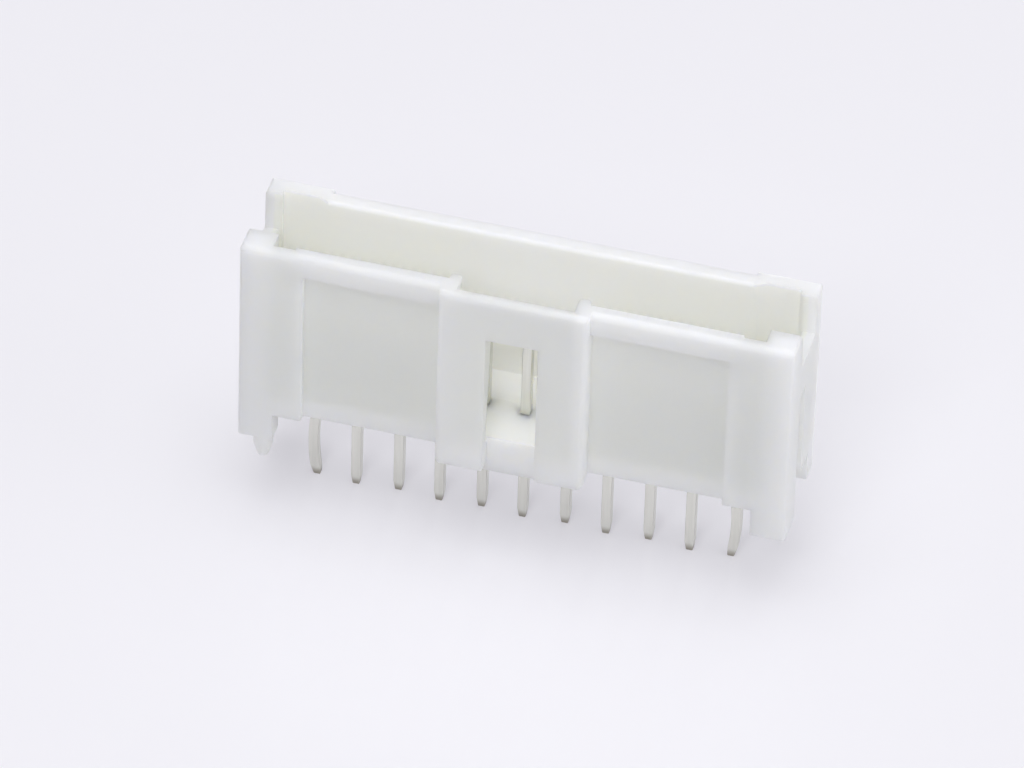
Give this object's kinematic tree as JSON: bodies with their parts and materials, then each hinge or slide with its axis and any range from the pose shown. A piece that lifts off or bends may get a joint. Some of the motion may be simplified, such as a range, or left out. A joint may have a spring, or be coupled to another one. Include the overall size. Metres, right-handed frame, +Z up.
{
  "type": "pin header",
  "caption": "Upright shrouded single-row pin header with a central latch window, corner feet, a locating peg and square through-hole pins.",
  "frame": {"origin": "on the board's surface, where the feet stand, at the middle of the pin row", "axes": "+X along the pin row, away from the locating peg; -Y towards the latch side; +Z up, the way the plug leaves"},
  "size_m": [0.026, 0.0058, 0.015],
  "materials": {
    "nylon": "natural white nylon, satin moulded",
    "tin_plate": "brass with bright tin plating"
  },
  "bodies": {
    "root": {"housing": "nylon", "contact_01": "tin_plate", "contact_02": "tin_plate", "contact_03": "tin_plate", "contact_04": "tin_plate", "contact_05": "tin_plate", "contact_06": "tin_plate", "contact_07": "tin_plate", "contact_08": "tin_plate", "contact_09": "tin_plate", "contact_10": "tin_plate", "contact_11": "tin_plate"}
  },
  "joints": []
}
